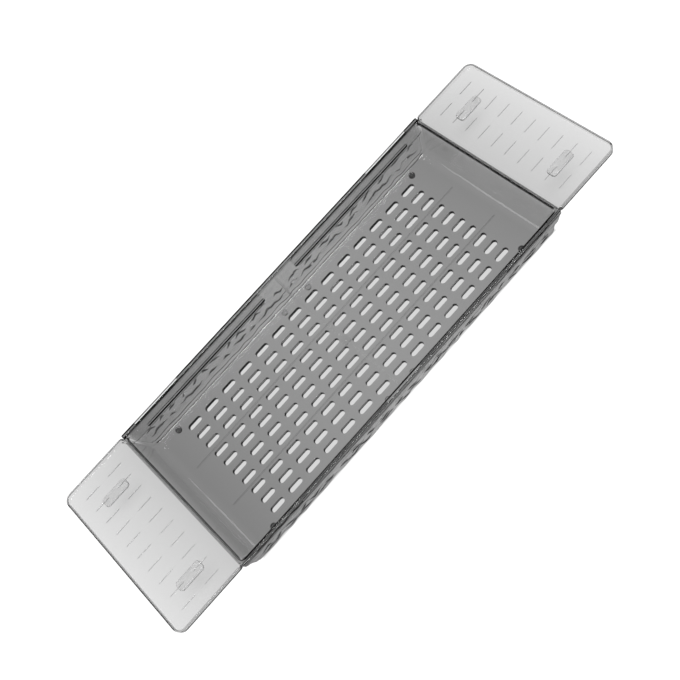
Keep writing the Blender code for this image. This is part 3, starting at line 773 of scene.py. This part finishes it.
def end_spaces():
    """The space outside each end wall, under the rim and between the side channels."""
    bottom = -FLOOR_THICKNESS
    top = BASIN_DEPTH - END_RIM_DEPTH
    low = bottom - OVERRUN
    past = TRAY_LENGTH / 2 + 2 * OVERRUN
    foot = (end_outer(bottom), bottom)
    arc = fillet((0, bottom), foot, (end_outer(top), top), END_HEEL_RADIUS, 2 * ARC_STEPS)
    outline = [(arc[0][0] - SINK, low), *arc[1:], (end_outer(top), top), (past, top), (past, low)]
    across = [(channel_middle(low), low), (channel_middle(top + SINK), top + SINK)]
    across += [(-y, level) for y, level in reversed(across)]
    spaces = []
    for side in (-1, 1):
        shape = [(side * x, level) for x, level in outline]
        space = along_y(f"end_space_{side}", shape, -TRAY_WIDTH, TRAY_WIDTH)
        band = along_x("band", across, -TRAY_LENGTH, TRAY_LENGTH)
        spaces.append(combine(space, "INTERSECT", [band]))
    return spaces


def corner_space(x, y):
    """The space outside one rounded corner of the basin, between the end and the channel."""
    radius = BASIN_CORNER + WALL_THICKNESS
    rings = []
    for level in (-FLOOR_THICKNESS - OVERRUN, BASIN_DEPTH - END_RIM_DEPTH):
        u, v = end_outer(level), long_outer(level)
        arc = fillet((u, 0), (u, v), (0, v), radius, 2 * SMALL_STEPS)
        outline = [(u + SINK, v + SINK), (u + SINK, arc[0][1]), *arc, (arc[-1][0], v + SINK)]
        rings.append(([(x * a, y * b) for a, b in outline], level))
    return stacked("corner_space", rings)


def skirt_trims():
    """Wedges that slant the ends of the skirts like the end walls."""
    top = LIP_LEVEL + TRIM_RISE
    low = -FLOOR_THICKNESS - OVERRUN
    end = TRAY_LENGTH / 2
    run = END_WALL_RUN * (top - low) / BASIN_DEPTH
    outline = [(end, top), (end - run, low), (end + 2 * OVERRUN, low), (end + 2 * OVERRUN, top)]
    trims = []
    for side in (-1, 1):
        shape = [(side * x, level) for x, level in outline]
        trims.append(along_y(f"skirt_trim_{side}", shape, -TRAY_WIDTH, TRAY_WIDTH))
    return trims


def window(x, y):
    """An opening over the channel and through the lip, with a thin bar left as the rim's edge."""
    inner = long_outer(RIM_LEVEL)
    outer = inner + WINDOW_WIDTH
    top = BASIN_DEPTH + OVERRUN
    bar = BASIN_DEPTH - WINDOW_BAR
    sill = LIP_LEVEL + WINDOW_SILL
    past = TRAY_WIDTH / 2 + OVERRUN
    profile = [(inner, sill), (past, sill), (past, bar), (outer, bar), (outer, top), (inner, top)]
    outline = [(y * u, level) for u, level in profile]
    return along_x("window", outline, x * WINDOW_START, x * WINDOW_END)


def guide_slot(x, y):
    """The slot with half-round ends in which a shelf's key runs; its sill drains into the basin."""
    middle = x * (SLOT_START + SLOT_END) / 2
    outline = [(middle + u, SLOT_LEVEL + v) for u, v in stadium(SLOT_END - SLOT_START, SLOT_HEIGHT)]
    face, back = long_inner(SLOT_LEVEL), long_outer(SLOT_LEVEL)
    rings = []
    depths = (face - OVERRUN / 2, face, back, channel_middle(SLOT_LEVEL))
    for across, fall in zip(depths, SILL_FALLS):
        rings.append([(u, y * across, v - fall * (v < SLOT_LEVEL) + FLOOR_TOP) for u, v in outline])
    return skinned("guide_slot", rings)


def turned(name, profile, place):
    """A round piece through (radius, level) pairs."""
    sides = 8 * SMALL_STEPS
    x, y = place
    turns = [2 * math.pi * side / sides for side in range(sides)]
    levels = []
    for radius, level in profile:
        ring = [(x + radius * math.cos(turn), y + radius * math.sin(turn)) for turn in turns]
        levels.append((ring, level))
    return stacked(name, levels)


def foot_socket(x, y):
    radius = SPIGOT_RADIUS + SEAT_GAP
    low = -FLOOR_THICKNESS
    place = (x * FOOT_PLACE[0], y * FOOT_PLACE[1])
    profile = [(radius, low - OVERRUN), (radius, low + SPIGOT_HEIGHT + SEAT_GAP)]
    return turned("foot_socket", profile, place)


def stud(x, y):
    low = -FLOOR_THICKNESS
    end = low - STUD_HEIGHT
    tip = [(STUD_RADIUS - inset, end + depth) for inset, depth in quarter(FOOT_ROUND)]
    place = (x * STUD_PLACE[0], y * STUD_PLACE[1])
    return turned("stud", [*tip, (STUD_RADIUS, low + SINK)], place)


def centre_rib():
    """A low rounded rib round the inside of the basin at its middle."""
    top = BASIN_DEPTH - CENTRE_RIB_TOP_GAP
    rings = []
    steps = 2 * SMALL_STEPS
    for step in range(steps + 1):
        turn = math.pi * step / steps
        share = CENTRE_RIB_SUNK_SHARE
        proud = CENTRE_RIB_PROUD * ((1 + share) * math.sin(turn) - share)
        x = -CENTRE_RIB_WIDTH / 2 * math.cos(turn)
        half = [
            (long_inner(0) + SINK, -SINK),
            (long_inner(top) + SINK, top),
            (long_inner(top) - proud, top),
            (long_inner(0) - proud - FOOT_FILLET / 4, FOOT_FILLET + proud),
            (long_inner(0) - proud - FOOT_FILLET, proud),
        ]
        outline = half + [(-y, level) for y, level in reversed(half)]
        rings.append([(x, y, level + FLOOR_TOP) for y, level in outline])
    return skinned("centre_rib", rings)


def gate_pad():
    half = GATE_SIZE / 2
    edge = reversed(quarter(GATE_PROUD / 3))
    steps = [(-SINK, 0)] + [(GATE_PROUD - depth, inset) for inset, depth in edge]
    levels = []
    for level, inset in steps:
        reach = half - inset
        levels.append((plan((-reach, -reach), (reach, reach), (GATE_ROUND - inset,) * 4), level))
    return stacked("gate_pad", levels)


def gate_dot():
    top = GATE_PROUD + GATE_DOT_PROUD
    edge = reversed(quarter(GATE_DOT_PROUD))
    tip = [(GATE_DOT_RADIUS - inset, top - depth) for inset, depth in edge]
    return turned("gate_dot", [(GATE_DOT_RADIUS, -SINK / 2), *tip], (0, 0))


def under_rib(side):
    half = UNDER_RIB_WIDTH / 2
    low = -FLOOR_THICKNESS
    y = side * UNDER_RIB_Y
    outline = [(y - half, low + SINK), (y - half, low - UNDER_RIB_DEPTH / 2)]
    outline += [(y - half / 2, low - UNDER_RIB_DEPTH), (y + half / 2, low - UNDER_RIB_DEPTH)]
    outline += [(y + half, low - UNDER_RIB_DEPTH / 2), (y + half, low + SINK)]
    return along_x("under_rib", outline, -UNDER_RIB_LENGTH / 2, UNDER_RIB_LENGTH / 2)


def ripple(x, level):
    """Share of the relief's height at a place on the skirt."""
    turn = 2 * math.pi
    slow = RIPPLE_LONG_WAVE + RIPPLE_UPRIGHT_WAVE
    sway = math.sin(turn * level / RIPPLE_UPRIGHT_WAVE + turn * x / slow)
    long_wave = math.sin(turn * x / RIPPLE_LONG_WAVE + 2 * sway)
    short_wave = math.sin(turn * x / RIPPLE_SHORT_WAVE - turn * level / RIPPLE_UPRIGHT_WAVE + sway)
    return (2 + long_wave + short_wave) / 4


def ripple_face(x, level):
    """How far a place on the skirt's outside lies from the middle plane."""
    fade = (max(level, 0) / LIP_LEVEL) ** 2
    height = RIPPLE_HEIGHT + (RIPPLE_TOP_HEIGHT - RIPPLE_HEIGHT) * fade
    return skirt_outer(level) + height * ripple(x, level)


def zigzag(place):
    """A triangle wave between -1 and 1."""
    return 4 * abs(place - math.floor(place + 0.5)) - 1


def ridges(side):
    """Fine scale-like ridges that wander along the skirt in broken strokes."""
    reach = TRAY_LENGTH / 2 - END_WALL_RUN - 2 * RIDGE_WIDTH
    chance = random.Random(RIDGE_SEED + side)
    pieces = []
    for row, stray, longest in RIDGE_ROWS:
        x = -reach
        while x < reach:
            end = min(x + chance.uniform(RIDGE_SHORTEST, longest), reach)
            steps = max(4, int((end - x) / RIDGE_STEP))
            phase = chance.uniform(0, 9)
            centre = row + chance.uniform(-1, 1) * stray / 2
            stroke = []
            for step in range(steps + 1):
                u = x + (end - x) * step / steps
                swing = zigzag(u / RIDGE_LONG_ZIGZAG + phase)
                swing += 0.5 * zigzag(u / RIDGE_SHORT_ZIGZAG + 2 * phase)
                from_end = min(step, steps - step)
                strength = min(1, RIDGE_END_STRENGTH + RIDGE_END_GROWTH * from_end / steps)
                stroke.append((u, centre + stray * swing / 1.5, strength))
            pieces.append(ridge(f"ridge_{side}_{len(pieces)}", side, stroke))
            x = end + chance.uniform(RIDGE_GAP, 4 * RIDGE_GAP)
    return pieces


def ridge(name, side, stroke):
    """One ridge through (x, level, strength) points: a slope above and a steep ledge below."""
    height = RIDGE_HEIGHTS[side]
    profile = [
        (RIDGE_WIDTH, 0),
        (0, height),
        (-RIDGE_LEDGE, 0),
        (-RIDGE_LEDGE / 2, -SINK),
        (RIDGE_WIDTH / 2, -SINK),
    ]
    rings = []
    for x, level, strength in stroke:
        ring = []
        for up, out in profile:
            place = level + up * strength
            y = min(ripple_face(side * x, place) + out * strength, TRAY_WIDTH / 2 - SEAT_GAP)
            ring.append((x, side * y, place + FLOOR_TOP))
        rings.append(ring)
    return skinned(name, rings)


def ripple_skin(side):
    """The rippled skirt under one side lip, of even thickness."""
    low = -FLOOR_THICKNESS + SKIRT_RISE
    high = LIP_LEVEL + RIPPLE_MARGIN
    work = bmesh.new()
    bmesh.ops.create_grid(work, x_segments=RIPPLE_COLUMNS, y_segments=RIPPLE_ROWS, size=1)
    front = list(work.verts)
    grown = bmesh.ops.extrude_face_region(work, geom=list(work.faces))["geom"]
    back = [item for item in grown if isinstance(item, bmesh.types.BMVert)]
    for group, behind in ((front, 0), (back, SKIRT_THICKNESS)):
        for vertex in group:
            level = low + (high - low) * (vertex.co.y + 1) / 2
            trimmed = END_WALL_RUN * (LIP_LEVEL - level) / BASIN_DEPTH
            x = (TRAY_LENGTH / 2 - TRIM_RISE - max(trimmed, 0)) * vertex.co.x
            vertex.co = (x, side * (ripple_face(side * x, level) - behind), level + FLOOR_TOP)
    return finished(f"ripple_skin_{side}", work)


def make_tray():
    quarters = [(x, y) for x in (-1, 1) for y in (-1, 1)]
    tray = tray_body()
    combine(tray, "INTERSECT", [tray_shell()])
    corners = [corner_space(x, y) for x, y in quarters]
    combine(tray, "DIFFERENCE", skirt_trims() + end_spaces() + corners + [basin_space()])
    combine(tray, "UNION", [centre_rib(), gate_pad(), gate_dot(), under_rib(1), under_rib(-1)])
    combine(tray, "UNION", [stud(x, y) for x, y in quarters])
    cuts = [make(x, y) for make in (window, guide_slot, foot_socket) for x, y in quarters]
    spacing = (DRAIN_COLUMNS, DRAIN_ROWS, DRAIN_PITCH_X, DRAIN_PITCH_Y)
    cuts.append(set_out("drain_spaces", drain_core(), *spacing, smoke_plastic))
    combine(tray, "DIFFERENCE", cuts)
    for side in (-1, 1):
        skin = ripple_skin(side)
        combine(skin, "UNION", ridges(side))
        combine(tray, "UNION", [skin])
    return shaded(tray, smoke_plastic, "tray", ["tray"])


def shelf_plan(inset, start):
    """Plan of a shelf from its inner edge, drawn in by the inset."""
    half = SHELF_WIDTH / 2 - inset
    end = SHELF_LENGTH - inset
    inner = SHELF_INNER_CORNER if start >= 0 else SINK
    outer = SHELF_CORNER - inset
    return plan((start, -half), (end, half), (inner, outer, outer, inner), ARC_STEPS)


def shelf_slab():
    under = SHELF_LEVEL - SHELF_THICKNESS
    edge = quarter(SHELF_ROUND)
    levels = [(shelf_plan(inset, inset), under + depth) for inset, depth in edge]
    levels += [(shelf_plan(inset, inset), BASIN_DEPTH - depth) for inset, depth in reversed(edge)]
    return stacked("wing_shown", levels)


def shelf_pocket():
    """The sunk face of a shelf, open towards the tray, with a round at its foot and its rim."""
    foot = quarter(SHELF_FOOT_ROUND)
    rim = quarter(SHELF_ROUND)
    levels = []
    for inset, depth in foot:
        levels.append((shelf_plan(SHELF_LIP + inset, -OVERRUN), SHELF_LEVEL + depth))
    for inset, depth in reversed(rim):
        levels.append((shelf_plan(SHELF_LIP - inset, -OVERRUN), BASIN_DEPTH + CROSSING - depth))
    levels.append((shelf_plan(SHELF_LIP - SHELF_ROUND, -OVERRUN), BASIN_DEPTH + OVERRUN))
    return stacked("shelf_pocket", levels)


def shelf_rib():
    """One fine drain rib with a rounded back."""
    levels = [(stadium(RIB_LENGTH, RIB_WIDTH), SHELF_LEVEL - SINK)]
    for inset, depth in reversed(quarter(RIB_WIDTH / 2 - SINK / 8)):
        outline = stadium(RIB_LENGTH - 2 * inset, RIB_WIDTH - 2 * inset)
        levels.append((outline, SHELF_LEVEL + (RIB_HEIGHT - depth)))
    return stacked("shelf_rib", levels)


def shelf_arm(side):
    """One arm and its gusset, leaning like the basin's wall that it slides along."""
    low, high = ARM_LOW, ARM_HIGH
    inner_end = ARM_END - SHELF_START
    under = SHELF_LEVEL - SHELF_THICKNESS / 2
    outline = [
        (inner_end, low + ARM_TAPER / 2),
        (inner_end + ARM_TAPER, low),
        (SHELF_GAP, low),
        (ARM_GUSSET, under - SHELF_THICKNESS / 4),
        (ARM_GUSSET, under),
        (SHELF_GAP, under),
        (SHELF_GAP - ARM_TAPER / 2, high),
        (inner_end + ARM_TAPER / 2, high),
        (inner_end, high - ARM_TAPER / 2),
    ]
    near = long_outer(low - OVERRUN) + ARM_CLEARANCE
    far = long_outer(high + OVERRUN) + ARM_CLEARANCE
    lean = [
        (side * near, low - OVERRUN),
        (side * (near + ARM_THICKNESS), low - OVERRUN),
        (side * (far + ARM_THICKNESS), high + OVERRUN),
        (side * far, high + OVERRUN),
    ]
    arm = along_y(f"arm_{side}", outline, -TRAY_WIDTH, TRAY_WIDTH)
    return combine(arm, "INTERSECT", [along_x("lean", lean, -TRAY_LENGTH, TRAY_LENGTH)])


def arm_key(side):
    """The key on an arm, which runs in the guide slot."""
    height = SLOT_HEIGHT - 2 * SEAT_GAP
    middle = ARM_END - SHELF_START + KEY_LENGTH / 2
    outline = [(middle + u, SLOT_LEVEL + v) for u, v in stadium(KEY_LENGTH, height)]
    inner = long_inner(SLOT_LEVEL + height) + KEY_SETBACK
    outer = long_outer(SLOT_LEVEL) + ARM_CLEARANCE + ARM_THICKNESS / 2
    return along_y("arm_key", outline, side * inner, side * outer)


def shelf_web():
    """The stiffening web under the inner edge of a shelf."""
    under = SHELF_LEVEL - SHELF_THICKNESS
    half = long_outer(ARM_LOW) + ARM_CLEARANCE
    outline = [
        (WEB_INSET, under - WEB_DEPTH),
        (WEB_INSET + WEB_THICKNESS, under - WEB_DEPTH),
        (WEB_INSET + WEB_THICKNESS, under + SHELF_THICKNESS / 2),
        (WEB_INSET, under + SHELF_THICKNESS / 2),
    ]
    return along_y("shelf_web", outline, -half, half)


def make_wings():
    shelf = combine(shelf_slab(), "DIFFERENCE", [shelf_pocket()])
    row_step = RIB_ROWS[1] - RIB_ROWS[0]
    spacing = (len(RIB_ROWS), RIB_COUNT, row_step, RIB_PITCH)
    ribs = set_out("shelf_ribs", shelf_rib(), *spacing, clear_plastic)
    ribs.data.transform(Matrix.Translation((sum(RIB_ROWS) / len(RIB_ROWS), 0, 0)))
    combine(shelf, "UNION", [ribs, shelf_web()])
    combine(shelf, "UNION", [make(side) for make in (shelf_arm, arm_key) for side in (-1, 1)])
    for label, turn in (("right", 0), ("left", math.pi)):
        wing = bpy.data.objects.new(f"wing_{label}_shown", shelf.data.copy())
        bpy.context.scene.collection.objects.link(wing)
        place = Matrix.Rotation(turn, 4, "Z") @ Matrix.Translation((SHELF_START, 0, 0))
        wing.data.transform(place)
        shaded(wing, clear_plastic, f"wing_{label}", [f"wing_{label}"])
    bpy.data.objects.remove(shelf)


def make_pads():
    """Grip pads under the shelves, with rounded edges."""
    top = SHELF_LEVEL - SHELF_THICKNESS - SEAT_GAP
    half = (PAD_LENGTH / 2, PAD_WIDTH / 2)
    edge = quarter(PAD_ROUND)
    steps = [(top - PAD_HEIGHT + depth, inset) for inset, depth in edge]
    steps += [(top - depth, inset) for inset, depth in reversed(edge)]
    for x, label in ((-1, "left"), (1, "right")):
        for y, place in ((-1, "near"), (1, "far")):
            centre = (x * (SHELF_START + PAD_PLACE[0]), y * PAD_PLACE[1])
            levels = []
            for level, inset in steps:
                reach = (half[0] - inset, half[1] - inset)
                low = (centre[0] - reach[0], centre[1] - reach[1])
                high = (centre[0] + reach[0], centre[1] + reach[1])
                levels.append((plan(low, high, (PAD_CORNER - inset,) * 4, 2 * SMALL_STEPS), level))
            pad = stacked(f"pad_{label}_{place}", levels)
            shaded(pad, grip_rubber, f"wing_{label}", [f"grip_pad_{label}_{place}"])


def make_feet():
    high = -FLOOR_THICKNESS - SEAT_GAP
    low = -FLOOR_THICKNESS - FOOT_HEIGHT
    profile = [(FOOT_RADIUS - inset, low + depth) for inset, depth in quarter(FOOT_ROUND)]
    profile += [(FOOT_RADIUS, high), (SPIGOT_RADIUS, high), (SPIGOT_RADIUS, high + SPIGOT_HEIGHT)]
    for x, label in ((-1, "left"), (1, "right")):
        for y, place in ((-1, "near"), (1, "far")):
            centre = (x * FOOT_PLACE[0], y * FOOT_PLACE[1])
            foot = turned(f"rubber_foot_{label}_{place}", profile, centre)
            shaded(foot, foot_rubber, "tray", [f"foot_{label}_{place}"])


make_tray()
make_wings()
make_pads()
make_feet()
